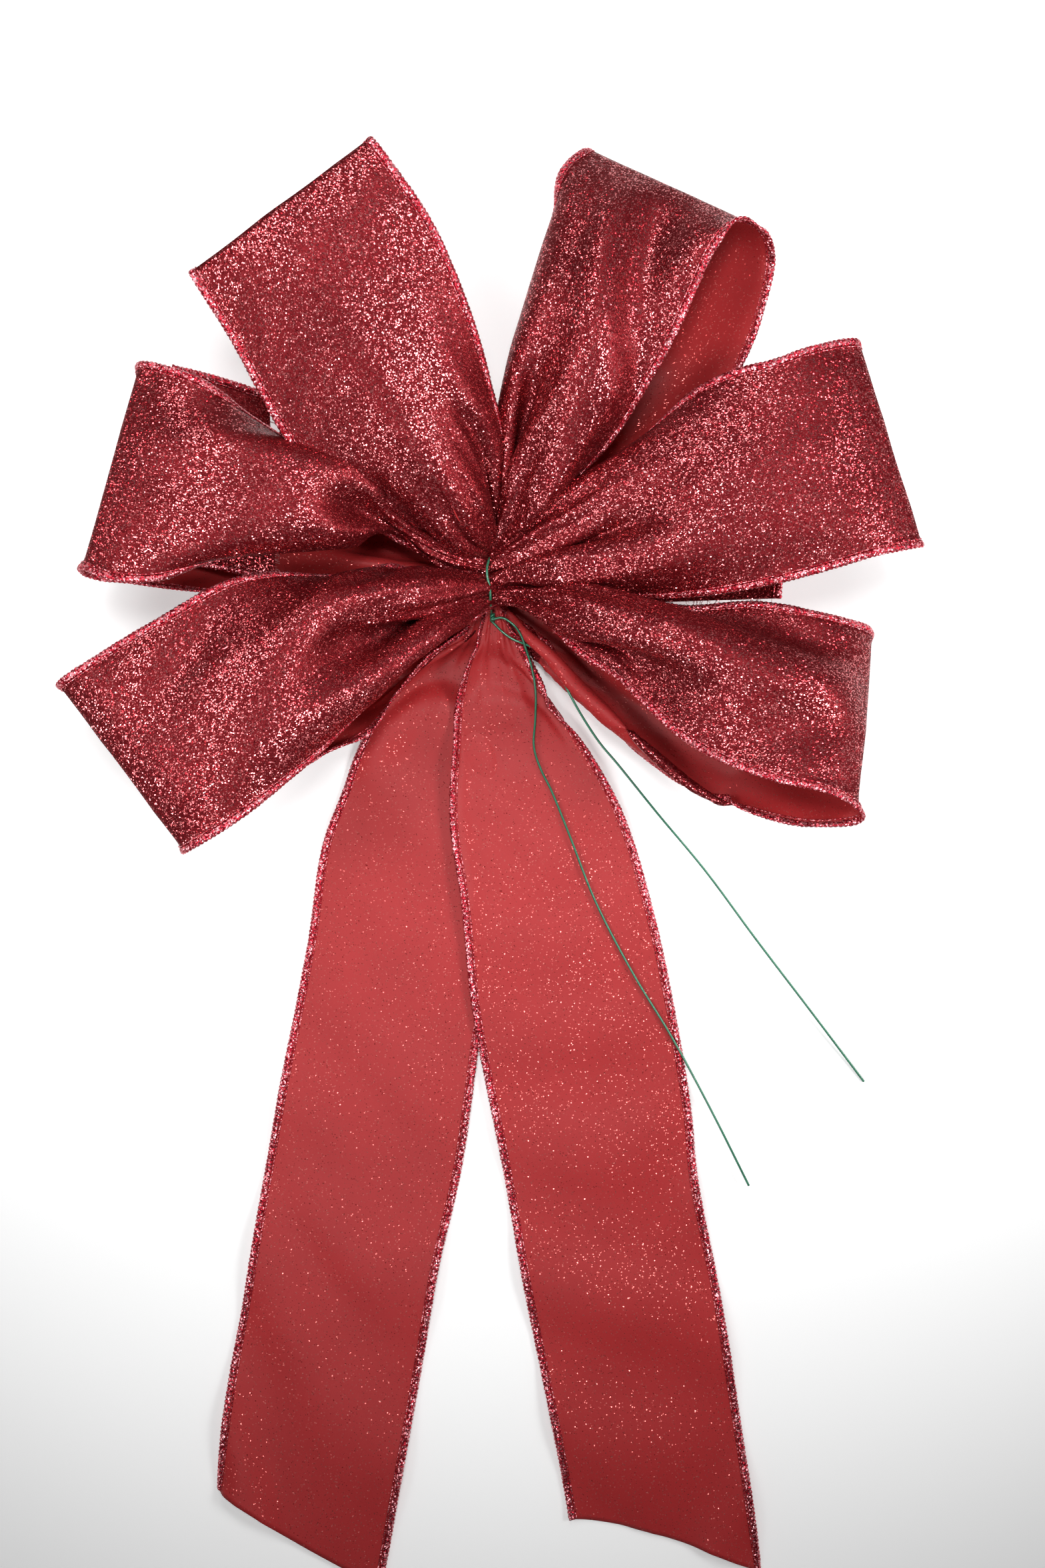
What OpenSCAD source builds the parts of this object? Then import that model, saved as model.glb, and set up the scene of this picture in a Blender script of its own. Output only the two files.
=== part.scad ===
// Gift bow of wired ribbon, lying on its back: six loops and two tails
// gathered at a neck and tied with florist wire. Millimetres, +Z up.
// Origin: the surface that the bow lies on, straight below the knot.
// +Y points from the tails to the top loops, +X to the right.

/* [Ribbon] */
// Width of the ribbon, from edge to edge
ribbon_w = 63.5; // [50:0.5:66]
// Thickness of the ribbon, face cloth and lining together
ribbon_t = 0.8; // [0.6:0.1:1]
// Width of the overlocked edging on each side
edging_w = 2.4; // [1.8:0.2:2.8]
// Thickness of the overlocked edging
edging_t = 1.4; // [1.2:0.1:1.6]
// Diameter of the fine wire inside each edging
edge_wire_d = 0.4; // [0.3:0.05:0.5]

/* [Loops] */
// Factor on the length of every loop
loop_scale = 1; // [0.9:0.05:1]
// Width of each loop where the tie pinches it
pinch_w = 9; // [7:0.5:9.5]

/* [Neck and tie] */
// Radius of the gathered neck at its waist
neck_r = 10.5; // [9.5:0.1:10.8]
// Diameter of the florist wire
tie_wire_d = 0.8; // [0.6:0.1:0.9]

/* [Tails] */
// Length of the left tail
left_tail_l = 328; // [250:2:330]
// Length of the right tail
right_tail_l = 330; // [250:2:330]
// Slant of the cut at the tails' ends, in degrees
tail_cut = 23; // [0:1:25]

/* [Hidden] */

neck_z = 12;            // height of the neck's centre
neck_half_l = 9;        // half the neck's length along X
flare_r = 13.4;         // radius of the neck's ends, cut flat at the bottom
hinge_r = 15;           // distance of the loops' hinges from the centre
ring_r = neck_r + tie_wire_d / 2 + 0.05;

loop_stations = 20;     // sections along a loop
start_angle = 16;       // where the teardrop's outline opens at the neck, in degrees
neck_half_gap = 1.1;    // half the gap between a loop's two layers at the neck
bulge_norm = 1.424;     // makes the teardrop's greatest half height one
full_width_at = 0.74;   // share of a loop's length at which it reaches its full width

// Each loop: direction, elevation, length, opening between its layers, roll
TOP_LEFT = [121, 30, 128, 34, 0];
TOP_RIGHT = [64, 21, 126, 42, -22];
LEFT = [166, 22, 120, 32, 0];
RIGHT = [17.5, 22, 127, 32, 0];
LOW_LEFT = [210, 21, 128, 32, 0];
LOW_RIGHT = [-24.5, 21, 124, 38, -26];

// Each tail: direction, pivot, length, height of its raised stretch, where that stretch ends,
// and its rise at the neck. The right tail lies over the left one.
tail_stations = 16;
tail_z = edging_t / 2;
LEFT_TAIL = [-100.3, [-9, -14], left_tail_l, tail_z, 1, 5];
RIGHT_TAIL = [-80.3, [5, -14], right_tail_l, tail_z + edging_t + 0.4, 150, 8];

// Routes of the tie wire's two free ends, from the twist
LEFT_END_ROUTE = [
    [0, -13.5, 15], [3.5, -13, 15.5], [7.5, -15.5, 15.5], [10, -19, 15], [11.5, -23, 13.5],
    [13.5, -29, 11], [15, -37, 8.5], [15, -47, 6.5], [14.5, -57, 5], [17, -65, 4.5], [20.5, -72, 4.2],
    [27, -88, 4], [36, -111, 4], [49, -136, 4], [63, -159, 4], [77, -185, 3.8], [90, -211, 3.4]
];
RIGHT_END_ROUTE = [
    [0, -14, 13.5], [3.5, -17.5, 13], [7, -20, 13], [10.5, -21.5, 13.2], [14, -23, 14], [18, -26, 15],
    [22.5, -30.5, 16], [26, -38, 17], [31, -47, 17], [37, -56, 16.5], [43, -63, 15.5], [57, -80, 12],
    [74, -100, 8], [92, -124, 5], [112, -150, 2.6], [131, -175, 0.6]
];

// ---- vectors and lofts ----

function unit(v) = v / norm(v);
function flat(lists) = [for (a = lists) for (b = a) b];
function smooth(x) = x <= 0 ? 0 : x >= 1 ? 1 : x * x * (3 - 2 * x);

function side_faces(rings, n, start, inward) = [
    for (i = [0 : rings - 2])
    for (j = [0 : n - 1])
    let (a = start + i * n + j, b = start + i * n + (j + 1) % n)
    for (f = [[a, b, b + n], [a, b + n, a + n]])
    inward ? f : [f[2], f[1], f[0]]
];

function fan(ids, inward) = [
    for (k = [1 : len(ids) - 2])
    inward ? [ids[0], ids[k + 1], ids[k]] : [ids[0], ids[k], ids[k + 1]]
];

// A closed solid through rings of points. Rings turn clockwise seen from the first
// ring's outside, or anticlockwise where reversed is true.
module loft(rings, reversed = false) {
    n = len(rings[0]);
    last = (len(rings) - 1) * n;
    polyhedron(
        points = flat(rings),
        faces = concat(
            side_faces(len(rings), n, 0, reversed),
            fan([for (j = [0 : n - 1]) j], reversed),
            fan([for (j = [0 : n - 1]) last + j], !reversed)
        )
    );
}

// A hollow sleeve between outer and inner rings of the same number of points
module sleeve(outer, inner, reversed = false) {
    n = len(outer[0]);
    rings = len(outer);
    shift = rings * n;
    last = (rings - 1) * n;
    caps = [
        for (end = [0, last])
        for (j = [0 : n - 1])
        let (k = (j + 1) % n, a = end + j, b = end + k, c = shift + end + k, d = shift + end + j)
        for (f = [[a, b, c], [a, c, d]])
        (end == 0) == reversed ? [f[2], f[1], f[0]] : f
    ];
    polyhedron(
        points = concat(flat(outer), flat(inner)),
        faces = concat(
            side_faces(rings, n, 0, reversed),
            side_faces(rings, n, shift, !reversed),
            caps
        )
    );
}

// ---- sections of a ribbon ----
// A station is [centre, across, up, width]: across points to the ribbon's left
// looking outwards, up is the way its outer face looks.

function at(st, t, n) = st[0] + t * st[1] + n * st[2];
function inner_half(st) = st[3] / 2 - edging_w;

function ribbon_ring(st, lift = 0) =
    let (w = inner_half(st), h = ribbon_t / 2)
    [at(st, w, lift + h), at(st, -w, lift + h), at(st, -w, lift - h), at(st, w, lift - h)];

// side is 1 for the left edging and -1 for the right one
function edging_ring(st, side, lift = 0) =
    let (w = inner_half(st), h = ribbon_t / 2, k = edging_t / 2, out = st[3] / 2)
    [
        at(st, side * w, lift - side * h), at(st, side * w, lift + side * h),
        at(st, side * (w + 1.2), lift + side * k), at(st, side * out, lift),
        at(st, side * (w + 1.2), lift - side * k)
    ];

function edge_wire_ring(st, side) =
    let (c = inner_half(st) + 1.1, r = edge_wire_d / 2)
    [
        at(st, side * (c - 0.8 * r), -side * 0.6 * r), at(st, side * (c - 0.8 * r), side * 0.6 * r),
        at(st, side * (c + 0.3 * r), side * r), at(st, side * (c + r), 0),
        at(st, side * (c + 0.3 * r), -side * r)
    ];

module ribbon(stations) {
    loft([for (st = stations) ribbon_ring(st)]);
}

module edging(stations, side) {
    sleeve(
        [for (st = stations) edging_ring(st, side)],
        [for (st = stations) edge_wire_ring(st, side)],
        reversed = true
    );
}

module edge_wires(stations) {
    for (side = [-1, 1]) {
        loft([for (st = stations) edge_wire_ring(st, side)], reversed = true);
    }
}

// ---- loops ----

function loop_axes(l, roll) =
    let (a = l[0], e = l[1], flat_across = [-sin(a), cos(a), 0],
         rise = [-sin(e) * cos(a), -sin(e) * sin(a), cos(e)])
    [
        [cos(e) * cos(a), cos(e) * sin(a), sin(e)],
        cos(roll) * flat_across + sin(roll) * rise,
        -sin(roll) * flat_across + cos(roll) * rise
    ];

// Distance out from the hinge and height over the loop's axis, at an angle round the teardrop
function teardrop(l, angle) = [
    l[2] * loop_scale * (1 - cos(angle)) / 2,
    l[3] / 2 * bulge_norm * sin(angle) * pow(sin(angle / 2), 1.5) + neck_half_gap * cos(angle / 2)
];

function loop_width(l, s) =
    let (x = min(1, s / (full_width_at * l[2] * loop_scale)))
    pinch_w + (ribbon_w - pinch_w) * x * (0.55 + x * (1.1 - 0.65 * x));

function loop_station(l, angle) =
    let (
        p = teardrop(l, angle), ahead = teardrop(l, angle + 0.5), behind = teardrop(l, angle - 0.5),
        run = unit(ahead - behind),
        axes = loop_axes(l, l[4] * smooth(p[0] / l[2])),
        hinge = [hinge_r * cos(l[0]), hinge_r * sin(l[0]), neck_z]
    )
    [
        hinge + p[0] * axes[0] + p[1] * axes[2],
        axes[1],
        -run[1] * axes[0] + run[0] * axes[2],
        loop_width(l, p[0])
    ];

function loop_angle(i) = start_angle + i * (360 - 2 * start_angle) / loop_stations;
function loop_run(l, first = 0, last = loop_stations) =
    [for (i = [first : last]) loop_station(l, loop_angle(i))];

// A raw-cut ribbon end tucked flat against the outside of a loop's back layer
tucked_first = 13;
tucked_last = 16;

module tucked_end(l) {
    loft([for (st = loop_run(l, tucked_first, tucked_last)) ribbon_ring(st, ribbon_t)]);
}

module tucked_end_edging(l) {
    for (side = [-1, 1]) {
        loft(
            [for (st = loop_run(l, tucked_first, tucked_last)) edging_ring(st, side, edging_t)],
            reversed = true
        );
    }
}

// ---- tails ----

function tail_width(s) = pinch_w + (ribbon_w - pinch_w) * smooth(0.12 + s / 75) / smooth(1);

function tail_height(t, s) =
    let (raised = t[3] + (tail_z - t[3]) * smooth((s - t[4]) / 30))
    raised + t[5] * pow(1 - min(1, s / 45), 2);

function tail_station(t, i) =
    let (
        s = t[2] * pow(i / tail_stations, 1.25),
        out = [cos(t[0]), sin(t[0]), 0],
        across = [-sin(t[0]), cos(t[0]), 0],
        skew = i == tail_stations ? tan(tail_cut) : 0
    )
    [
        [t[1][0], t[1][1], tail_height(t, s)] + s * out,
        across + skew * out,
        [0, 0, 1],
        tail_width(s)
    ];

function tail_run(t) = [for (i = [0 : tail_stations]) tail_station(t, i)];

// ---- tie wire ----

function ease(a, b, c, d, x) =
    0.5 * (2 * b + (c - a) * x + (2 * a - 5 * b + 4 * c - d) * x * x + (3 * b - a - 3 * c + d) * x * x * x);

function smooth_route(r, steps) = [
    for (i = [0 : len(r) - 2])
    for (k = [0 : steps - 1])
    ease(r[max(0, i - 1)], r[i], r[i + 1], r[min(len(r) - 1, i + 2)], k / steps),
    r[len(r) - 1]
];

function wire_ring(p, dir) =
    let (u = unit(cross(dir, [0.2, 0.1, 1])), v = cross(dir, u))
    [for (k = [0 : 7]) p + tie_wire_d / 2 * (cos(k * 45) * u + sin(k * 45) * v)];

module wire(route) {
    pts = smooth_route(route, 2);
    n = len(pts);
    loft([
        for (i = [0 : n - 1])
        wire_ring(pts[i], unit(pts[min(n - 1, i + 1)] - pts[max(0, i - 1)]))
    ]);
}

// ---- sub-parts ----

module gathered_neck() {
    color("firebrick")
    intersection() {
        translate([0, 0, neck_z])
        rotate([0, 90, 0])
        rotate_extrude($fn = 64)
        polygon([
            [0, -neck_half_l],
            [flare_r - 0.8, -neck_half_l],
            [flare_r, -neck_half_l + 1.5],
            [neck_r, -2],
            [neck_r, 2],
            [flare_r, neck_half_l - 1.5],
            [flare_r - 0.8, neck_half_l],
            [0, neck_half_l]
        ]);
        translate([-20, -neck_r, 0])
        cube([40, 2 * neck_r, 40]);
    }
}

module tie_wire_ring() {
    color("seagreen")
    translate([0, 0, neck_z])
    rotate([0, 90, 0])
    rotate_extrude($fn = 72)
    translate([ring_r, 0])
    circle(d = tie_wire_d, $fn = 24);
}

// The knot: two short turns of wire side by side, on the tails' side of the neck
module tie_wire_twist() {
    color("seagreen")
    for (x = [-1, 0]) {
        translate([0.5 + x, -12.2, 14.6])
        rotate([0, 90, 0])
        rotate_extrude($fn = 32)
        translate([1.2, 0])
        circle(d = tie_wire_d + 0.2, $fn = 16);
    }
}

module tie_wire_end_left() {
    color("seagreen") wire(LEFT_END_ROUTE);
}

module tie_wire_end_right() {
    color("seagreen") wire(RIGHT_END_ROUTE);
}

module strip(stations) {
    color("firebrick") ribbon(stations);
}

module strip_edging(stations, side) {
    color("palevioletred") edging(stations, side);
}

module strip_wires(stations) {
    color("silver") edge_wires(stations);
}

gathered_neck();
tie_wire_ring();
tie_wire_twist();
tie_wire_end_left();
tie_wire_end_right();
strip(loop_run(TOP_LEFT));  // top_left_loop
strip_edging(loop_run(TOP_LEFT), 1);  // top_left_loop_left_edging
strip_edging(loop_run(TOP_LEFT), -1);  // top_left_loop_right_edging
strip_wires(loop_run(TOP_LEFT));  // top_left_loop_edge_wires
strip(loop_run(TOP_RIGHT));  // top_right_loop
strip_edging(loop_run(TOP_RIGHT), 1);  // top_right_loop_left_edging
strip_edging(loop_run(TOP_RIGHT), -1);  // top_right_loop_right_edging
strip_wires(loop_run(TOP_RIGHT));  // top_right_loop_edge_wires
strip(loop_run(LEFT));  // left_loop
strip_edging(loop_run(LEFT), 1);  // left_loop_left_edging
strip_edging(loop_run(LEFT), -1);  // left_loop_right_edging
strip_wires(loop_run(LEFT));  // left_loop_edge_wires
color("firebrick") tucked_end(LEFT);  // left_loop_tucked_end
color("palevioletred") tucked_end_edging(LEFT);  // left_loop_tucked_end_edging
strip(loop_run(RIGHT));  // right_loop
strip_edging(loop_run(RIGHT), 1);  // right_loop_left_edging
strip_edging(loop_run(RIGHT), -1);  // right_loop_right_edging
strip_wires(loop_run(RIGHT));  // right_loop_edge_wires
color("firebrick") tucked_end(RIGHT);  // right_loop_tucked_end
color("palevioletred") tucked_end_edging(RIGHT);  // right_loop_tucked_end_edging
strip(loop_run(LOW_LEFT));  // low_left_loop
strip_edging(loop_run(LOW_LEFT), 1);  // low_left_loop_left_edging
strip_edging(loop_run(LOW_LEFT), -1);  // low_left_loop_right_edging
strip_wires(loop_run(LOW_LEFT));  // low_left_loop_edge_wires
strip(loop_run(LOW_RIGHT));  // low_right_loop
strip_edging(loop_run(LOW_RIGHT), 1);  // low_right_loop_left_edging
strip_edging(loop_run(LOW_RIGHT), -1);  // low_right_loop_right_edging
strip_wires(loop_run(LOW_RIGHT));  // low_right_loop_edge_wires
strip(tail_run(LEFT_TAIL));  // left_tail
strip_edging(tail_run(LEFT_TAIL), 1);  // left_tail_left_edging
strip_edging(tail_run(LEFT_TAIL), -1);  // left_tail_right_edging
strip_wires(tail_run(LEFT_TAIL));  // left_tail_edge_wires
strip(tail_run(RIGHT_TAIL));  // right_tail
strip_edging(tail_run(RIGHT_TAIL), 1);  // right_tail_left_edging
strip_edging(tail_run(RIGHT_TAIL), -1);  // right_tail_right_edging
strip_wires(tail_run(RIGHT_TAIL));  // right_tail_edge_wires
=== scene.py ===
"""A gift bow of wired glitter ribbon: its looks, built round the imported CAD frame.

The tables and the cloth's arrays are in millimetres. Z is up from the table, the knot is near the
origin and the tails run towards -Y.
"""
import math

import bpy
import numpy as np
from numpy.linalg import norm
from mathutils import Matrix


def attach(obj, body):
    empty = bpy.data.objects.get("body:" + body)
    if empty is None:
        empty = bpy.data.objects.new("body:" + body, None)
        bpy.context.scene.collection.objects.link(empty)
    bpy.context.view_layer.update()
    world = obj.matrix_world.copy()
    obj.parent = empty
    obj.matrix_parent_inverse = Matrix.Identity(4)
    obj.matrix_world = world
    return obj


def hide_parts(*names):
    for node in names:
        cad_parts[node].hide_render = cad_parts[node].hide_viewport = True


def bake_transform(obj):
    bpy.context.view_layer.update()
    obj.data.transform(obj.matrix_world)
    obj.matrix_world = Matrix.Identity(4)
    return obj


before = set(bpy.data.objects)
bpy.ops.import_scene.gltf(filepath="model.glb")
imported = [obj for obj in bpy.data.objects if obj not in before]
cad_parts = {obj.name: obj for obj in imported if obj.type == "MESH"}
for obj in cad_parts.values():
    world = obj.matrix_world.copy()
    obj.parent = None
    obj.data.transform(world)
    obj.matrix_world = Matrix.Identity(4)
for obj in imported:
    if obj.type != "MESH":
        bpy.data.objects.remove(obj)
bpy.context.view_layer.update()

MM = 0.001
TAU = 2 * math.pi
CLOTH_W = 60.8          # cloth between the two edgings
HALF_THICK = 0.18       # half the ribbon's thickness
EDGING_HALF_W = 1.25
EDGING_HALF_T = 0.62
STITCH = 1.5            # one overlock stitch along the edge
THREAD_DRAWS = np.random.RandomState(7)

# -------- the strips' guide lines
# Each loop's two edges, seen looking outwards from the knot: along the front layer to the fold, then along
# the back layer to the neck. A curl is a margin of the back layer that is folded over: (share of the way
# from the fold to the neck, width).
LOOPS = {
    "top_left_loop": dict(
        front_left=[(-2, 5, 21), (-17, 10, 28), (-37, 22, 41), (-56, 31, 54), (-76, 65, 76),
            (-87, 83, 83)],
        front_right=[(1, 11, 22), (0, 17, 26), (4, 40, 40), (-1, 59, 52), (-8, 78, 64), (-18, 98, 76),
            (-28, 111, 83), (-36, 121, 83)],
        back_left=[(-84, 79, 70), (-70, 54, 54), (-58, 30, 42), (-38, 20, 33), (-18, 8, 20),
            (-2, 3, 15)],
        back_right=[(-33, 115, 70), (-20, 95, 54), (-8, 70, 40), (-1, 45, 30), (0, 25, 22), (1, 9, 16)],
        seed=3,
    ),
    "top_right_loop": dict(
        front_left=[(-1, 11, 22), (1, 19, 24), (5, 40, 32), (7, 53, 37), (11, 71, 44), (16, 94, 52),
            (20, 108, 55), (24, 124, 54), (33, 133, 48)],
        front_right=[(-1, 5, 22), (14, 17, 29), (28, 30, 38), (41, 44, 48), (50, 59, 57), (56, 69, 64),
            (62, 82, 70), (68, 94, 74), (75, 101, 74), (82, 101, 69)],
        back_left=[(32, 129, 38), (26, 112, 33), (22, 92, 28), (16, 66, 22), (10, 44, 18), (5, 24, 14),
            (-1, 8, 12)],
        back_right=[(86, 99, 64), (88, 94, 57), (86, 82, 52), (82, 70, 46), (74, 56, 38), (60, 40, 30),
            (42, 24, 22), (20, 10, 15), (-1, 3, 11)],
        seed=11,
    ),
    "left_loop": dict(
        front_left=[(2, 1, 21), (-15, 3, 21), (-30, 12, 26), (-41, 15, 31), (-63, 7, 44), (-86, 1, 55),
            (-104, -5, 62), (-116, -5, 64), (-127, -1, 60)],
        front_right=[(2, 6, 20), (-8, 9, 20), (-31, 22, 26), (-47, 31, 33), (-60, 38, 41),
            (-75, 46, 53), (-85, 52, 60), (-95, 56, 64), (-110, 60, 60)],
        back_left=[(-128, -2, 48), (-114, -4, 42), (-93, -6, 33), (-67, -7, 24), (-41, -4, 16),
            (-18, -2, 11), (2, -1, 9)],
        back_right=[(-108, 56, 48), (-94, 49, 40), (-72, 39, 30), (-50, 27, 22), (-28, 14, 15),
            (2, 4, 10)],
        seed=5,
    ),
    "right_loop": dict(
        front_left=[(-2, 6, 21), (14, 16, 26), (27, 28, 32), (48, 41, 43), (57, 48, 49), (66, 54, 54),
            (77, 58, 59), (89, 60, 63), (101, 64, 64), (116, 67, 60)],
        front_right=[(-2, -3, 21), (18, -3, 25), (37, -5, 33), (51, -8, 39), (67, -8, 47), (90, -5, 57),
            (107, -1, 62), (121, 3, 64), (135, 6, 60)],
        back_left=[(113, 63, 47), (100, 58, 40), (80, 50, 32), (58, 38, 24), (36, 22, 17), (16, 8, 12),
            (-2, 2, 9)],
        back_right=[(132, 8, 47), (116, 6, 40), (94, 2, 32), (68, -2, 24), (42, -2, 17), (20, -2, 11),
            (-2, -2, 8)],
        seed=21,
    ),
    "low_left_loop": dict(
        front_left=[(2, -9, 19), (-16, -20, 26), (-31, -32, 36), (-38, -42, 42), (-52, -57, 51),
            (-63, -67, 58), (-79, -80, 65), (-96, -90, 61)],
        front_right=[(2, 0, 22), (-24, 1, 25), (-36, 2, 32), (-51, -2, 39), (-69, -3, 47),
            (-82, -7, 54), (-99, -18, 61), (-118, -30, 64), (-134, -40, 60)],
        back_left=[(-94, -86, 46), (-76, -74, 38), (-60, -62, 30), (-42, -52, 23), (-33, -40, 18),
            (-21, -26, 13), (2, -10, 9)],
        back_right=[(-130, -38, 47), (-114, -32, 40), (-92, -20, 32), (-66, -8, 24), (-42, -3, 17),
            (-20, -2, 11), (2, -2, 8)],
        curl=[(0.0, 0), (0.35, 0), (0.6, 7), (0.9, 7), (1.0, 2)],
        curl_side="left", seed=8,
    ),
    "low_right_loop": dict(
        front_left=[(-2, -2, 19), (18, -4, 22), (36, -6, 28), (52, -10, 34), (63, -13, 39),
            (85, -13, 47), (101, -16, 52), (113, -19, 53), (123, -22, 46)],
        front_right=[(-2, -9, 19), (10, -9, 22), (17, -12, 26), (24, -20, 31), (31, -27, 37),
            (42, -35, 44), (51, -44, 52), (61, -54, 59), (72, -61, 65), (87, -67, 71), (103, -71, 74),
            (113, -76, 70)],
        back_left=[(121, -26, 36), (108, -22, 31), (88, -18, 25), (64, -14, 19), (40, -8, 14),
            (18, -3, 10), (-2, -2, 8)],
        back_right=[(115, -80, 64), (102, -82, 56), (84, -78, 44), (66, -70, 29), (49, -58, 14),
            (43, -50, 9), (36, -40, 7), (27, -30, 6.5), (14, -18, 6.5), (-2, -7, 8)],
        curl=[(0.0, 0), (0.3, 0), (0.44, 8), (0.6, 12), (0.73, 9), (0.84, 5), (0.92, 0), (1.0, 0)],
        curl_side="right", seed=14,
    ),
}
# Each tail's two edges from the neck to the cut. Looking outwards, the left edge is the one at +X. The
# cloth stays between the ceiling and the floor: (distance down from the knot, height).
TAILS = {
    "left_tail": dict(
        left=[(-2, 0, 9), (0, -12, 9), (4, -28, 5), (8, -52, 2), (7, -87, 1), (1, -123, 1),
            (-5, -150, 1), (-13, -205, 1), (-21, -240, 1), (-27, -275, 1), (-36, -325, 1), (-41, -353, 1)],
        right=[(-5, 0, 10), (-9, -12, 11), (-15, -20, 10), (-23, -27, 7), (-36, -40, 4), (-46, -59, 2),
            (-51, -73, 1), (-58, -92, 1), (-63, -125, 1), (-71, -167, 1), (-78, -205, 1), (-85, -247, 1),
            (-91, -280, 1), (-96, -319, 1)],
        ceiling=[(0, 12), (15, 11), (30, 7), (50, 4), (80, 1.6), (150, 1.6), (190, 5), (400, 5)],
        floor=[(0, 0.5), (400, 0.5)],
        cut_bulge=6.5, waves=1.2, waves_from=150, wave_length=66, wave_lag=20, seed=17,
    ),
    "right_tail": dict(
        left=[(2, 0, 11), (3, -9, 13), (6, -16, 13), (10, -24, 10), (18, -39, 6.5), (24, -47, 5),
            (31, -57, 4), (44, -81, 3), (55, -117, 3), (62, -150, 3), (68, -186, 2), (70, -208, 1),
            (78, -249, 1), (86, -299, 1), (93, -347, 1)],
        right=[(-1, 0, 11), (-2, -10, 13), (-4, -17, 13), (-5, -22, 12), (-8, -29, 10), (-11, -42, 6),
            (-12, -54, 5), (-13, -83, 4), (-9, -111, 4), (-5, -150, 3), (5, -202, 1), (14, -252, 1),
            (24, -301, 1), (29, -329, 1)],
        ceiling=[(0, 15), (12, 13), (18, 12), (23, 11), (29, 9), (37, 6.8), (47, 4.8), (57, 3.5),
            (65, 3.2), (88, 3.0), (212, 3.0), (240, 6), (400, 6)],
        floor=[(0, 8), (18, 8), (35, 4.5), (60, 2.4), (90, 2.0), (140, 2.0), (170, 0.5), (400, 0.5)],
        cut_bulge=2.2, waves=1.1, waves_from=195, wave_length=58, wave_lag=-14, seed=29,
    ),
}
# Raw-cut ends behind the two middle loops: their two edges, each ending at the raw cut
TUCKED = {
    "left_loop": dict(
        left=[(-104, 5, 36), (-89, 3, 29), (-73, 0, 23)],
        right=[(-105, 66, 36), (-91, 64, 29), (-75, 60, 23)],
    ),
    "right_loop": dict(
        left=[(35, 17, 11), (34, 6, 11), (32, -8, 12)],
        right=[(96, 17, 27), (96, 6, 28), (95, -8, 28)],
    ),
}
# The tie wire's free ends, from the knot outwards
LEFT_END_ROUTE = [
    (0, -13.5, 15), (3.5, -13, 15.5), (7.5, -15.5, 15.5), (10, -19, 15), (11.5, -23, 13.5),
    (13.5, -29, 11), (15, -37, 8.5), (15, -47, 6.5), (14.5, -57, 5), (17, -65, 4.5), (20.5, -72, 4.2),
    (27, -88, 4), (36, -111, 4), (49, -136, 4), (63, -159, 4), (77, -185, 3.8), (90, -211, 3.4),
]
RIGHT_END_ROUTE = [
    (0, -14, 13.5), (3.5, -17.5, 13), (7, -20, 13), (10.5, -21.5, 13.2), (14, -23, 14), (18, -26, 15),
    (22.5, -30.5, 16), (26, -38, 17), (31, -47, 17), (37, -56, 16.5), (43, -63, 15.5), (57, -80, 12),
    (74, -100, 8), (92, -124, 5), (112, -150, 2.6), (131, -175, 0.6),
]

# -------- camera and light

CAMERA_AT = (0.0105, -0.070, 0.520)
CAMERA_LENS = 22.52
SENSOR_HEIGHT = 24.0
LAMP_SPREAD = math.radians(95)
# Soft round lamps: place, the point aimed at, width in metres, watts
LAMPS = {
    "overhead": ((0.01, 0.07, 0.72), (0, 0.04, 0), 0.16, 0.64),
    "left": ((-0.46, 0.00, 0.46), (0, 0.07, 0), 0.24, 0.44),
    "right": ((0.50, -0.05, 0.42), (0, 0.05, 0), 0.24, 0.86),
    "top": ((0.0, 0.50, 0.54), (0, 0.10, 0), 0.24, 0.40),
    "low": ((-0.12, -0.34, 0.50), (0, 0.10, 0), 0.24, 0.38),
}
# The room's white glow: strongest near the horizon, faint overhead
SKY_GLOW = {"From Min": 0.05, "From Max": 0.55, "To Min": 0.36, "To Max": 0.03}
FLOOR_HALF = 3000.0


def link_object(name, data):
    ob = bpy.data.objects.new(name, data)
    bpy.context.scene.collection.objects.link(ob)
    return ob


def add_camera():
    cam = bpy.data.cameras.new("camera")
    cam.sensor_fit = "VERTICAL"
    cam.sensor_height = SENSOR_HEIGHT
    cam.lens = CAMERA_LENS
    cam.clip_start = 0.01
    ob = link_object("camera", cam)
    ob.location = CAMERA_AT
    bpy.context.scene.camera = ob


def add_lamp(name, where, target, size, watts):
    light = bpy.data.lights.new(name, "AREA")
    light.shape = "DISK"
    light.size = size
    light.energy = watts
    light.spread = LAMP_SPREAD
    ob = link_object(name, light)
    ob.location = where
    aim = np.array(target, float) - np.array(where, float)
    ob.rotation_euler = (
        math.atan2(math.hypot(aim[0], aim[1]), -aim[2]),
        0.0,
        math.atan2(-aim[0], aim[1]),
    )


def add_room():
    world = bpy.data.worlds.new("room")
    world.use_nodes = True
    tree = world.node_tree
    back = tree.nodes["Background"]
    back.inputs["Color"].default_value = (1.0, 1.0, 1.0, 1.0)
    direction = tree.nodes.new("ShaderNodeTexCoord")
    split = tree.nodes.new("ShaderNodeSeparateXYZ")
    glow = tree.nodes.new("ShaderNodeMapRange")
    for socket, value in SKY_GLOW.items():
        glow.inputs[socket].default_value = value
    tree.links.new(direction.outputs["Generated"], split.inputs[0])
    tree.links.new(split.outputs["Z"], glow.inputs["Value"])
    tree.links.new(glow.outputs["Result"], back.inputs["Strength"])
    bpy.context.scene.world = world
    for name, lamp in LAMPS.items():
        add_lamp(name, *lamp)
    corners = np.array([(-1, -1, 0), (1, -1, 0), (1, 1, 0), (-1, 1, 0)], float) * FLOOR_HALF
    floor = mesh_object("floor", corners, np.array([[0, 1, 2, 3]]), [paper()])


# -------- mesh helpers

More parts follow.
